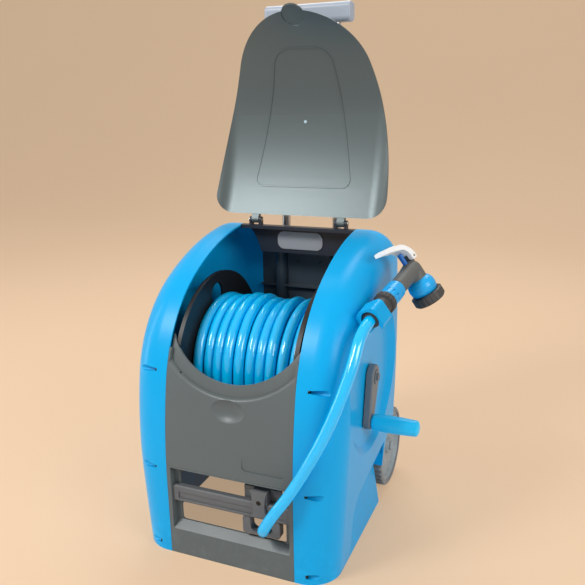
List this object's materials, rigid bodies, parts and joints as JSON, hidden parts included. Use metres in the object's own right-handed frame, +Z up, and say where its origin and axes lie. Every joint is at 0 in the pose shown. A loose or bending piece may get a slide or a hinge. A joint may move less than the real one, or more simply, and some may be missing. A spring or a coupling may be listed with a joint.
{
  "type": "hose reel cart",
  "caption": "Wheeled garden hose reel cart: moulded case with a hinged lid, crank reel with wound hose, sliding hose guide, telescopic pull handle and a spray gun.",
  "frame": {"origin": "middle of the front edge of the front foot, on the floor", "axes": "+X to the crank side, +Y to the rear, +Z up"},
  "size_m": [0.4678, 0.4421, 0.865],
  "materials": {
    "body_blue": "satin blue moulded plastic",
    "hose_blue": "glossy blue hose",
    "panel_grey": "fine-grained grey plastic",
    "lid_grey": "satin grey plastic",
    "panel_dark": "near-black plastic",
    "guide_dark": "dark grey plastic",
    "reel_dark": "black plastic",
    "inlet_grey": "grey plastic",
    "steel": "bright steel",
    "crank_grey": "grey plastic",
    "grip_blue": "blue plastic",
    "tyre_grey": "grey tread plastic",
    "wheel_grey": "grey plastic",
    "tube_silver": "drawn tube",
    "bar_silver": "silver grey plastic",
    "gun_dark": "dark grey plastic",
    "gun_grey": "grey plastic",
    "gun_blue": "blue plastic",
    "trigger_white": "white plastic"
  },
  "bodies": {
    "cart": {"side_shell_right": "body_blue", "side_shell_left": "body_blue", "case_screws": "steel", "front_panel": "panel_grey", "guide_rail": "guide_dark", "back_panel": "panel_dark", "header_box": "panel_dark", "hinge_pins": "steel", "grip_pocket": "panel_grey", "upper_handle_guide": "panel_dark", "lower_handle_guide": "panel_dark", "rear_screws": "steel", "hose_tail": "hose_blue", "shaft_bush": "reel_dark", "water_inlet": "inlet_grey", "inlet_nut": "inlet_grey", "wheel_axle": "steel", "wheel_cap_right": "steel", "wheel_cap_left": "steel", "hose_connector": "gun_dark", "gun_collar": "gun_dark", "gun_body": "gun_grey", "trigger_pin": "steel", "spray_head": "gun_blue", "nozzle_clip": "body_blue"},
    "hose_guide": {"guide_plate": "guide_dark", "guide_eye": "guide_dark", "guide_screw": "steel"},
    "lid": {"lid": "lid_grey"},
    "reel": {"reel_flange_right": "reel_dark", "reel_flange_left": "reel_dark", "reel_drum": "reel_dark", "drum_elbow": "reel_dark", "hose_core": "hose_blue", "hose_winding": "hose_blue", "crank_shaft": "steel", "crank_arm": "crank_grey", "crank_screw": "steel", "crank_pin": "steel"},
    "crank_sleeve": {"crank_grip": "grip_blue", "grip_cap": "grip_blue"},
    "wheel_right": {"wheel_tyre_right": "tyre_grey", "wheel_hub_right": "wheel_grey"},
    "wheel_left": {"wheel_tyre_left": "tyre_grey", "wheel_hub_left": "wheel_grey"},
    "pull_handle": {"handle_tube_left": "tube_silver", "handle_tube_right": "tube_silver", "grip_bar": "bar_silver", "tube_plugs": "bar_silver"},
    "trigger": {"trigger": "trigger_white"},
    "valve": {"valve_plunger": "gun_dark"},
    "dial": {"spray_dial": "gun_dark"},
    "flow": {"flow_ring": "gun_blue"}
  },
  "joints": [
    {"name": "lid_hinge", "type": "hinge", "parent": "cart", "child": "lid", "pos_m": [0, 0.306, 0.498], "axis": [1, 0, 0], "range_deg": [0, 122]},
    {"name": "reel_spin", "type": "hinge", "parent": "cart", "child": "reel", "pos_m": [0, 0.18, 0.277], "axis": [1, 0, 0], "continuous": true, "deforming": ["hose_tail"]},
    {"name": "crank_grip_spin", "type": "hinge", "parent": "reel", "child": "crank_sleeve", "pos_m": [0.22, 0.15775, 0.20852], "axis": [1, 0, 0], "continuous": true},
    {"name": "wheel_right_spin", "type": "hinge", "parent": "cart", "child": "wheel_right", "pos_m": [0.153, 0.341, 0.073], "axis": [1, 0, 0], "continuous": true},
    {"name": "wheel_left_spin", "type": "hinge", "parent": "cart", "child": "wheel_left", "pos_m": [-0.153, 0.341, 0.073], "axis": [1, 0, 0], "continuous": true},
    {"name": "handle_slide", "type": "slide", "parent": "cart", "child": "pull_handle", "axis": [0, 0, 1], "range_m": [-0.34, 0]},
    {"name": "hose_guide_slide", "type": "slide", "parent": "cart", "child": "hose_guide", "axis": [1, 0, 0], "range_m": [-0.11, 0.007], "deforming": ["hose_tail"]},
    {"name": "trigger_pull", "type": "hinge", "parent": "cart", "child": "trigger", "pos_m": [0.21336, 0.24564, 0.46022], "axis": [0.8406, -0.2788, 0.4643], "range_deg": [0, 20], "stiffness_Nm_per_rad": 0.2, "springref_deg": -17.19},
    {"name": "valve_slide", "type": "slide", "parent": "cart", "child": "valve", "axis": [0.5156, 0.1497, -0.8436], "range_m": [0, 0.007]},
    {"name": "dial_spin", "type": "hinge", "parent": "cart", "child": "dial", "pos_m": [0.24831, 0.24679, 0.39763], "axis": [0.5156, 0.1497, -0.8436], "continuous": true},
    {"name": "flow_turn", "type": "hinge", "parent": "cart", "child": "flow", "pos_m": [0.2071, 0.15656, 0.41807], "axis": [0.1657, 0.9486, 0.2696], "range_deg": [-60, 60]}
  ],
  "couplings": [
    {"joint": "valve_slide", "follows": "trigger_pull", "m_per_rad": 0.02}
  ]
}
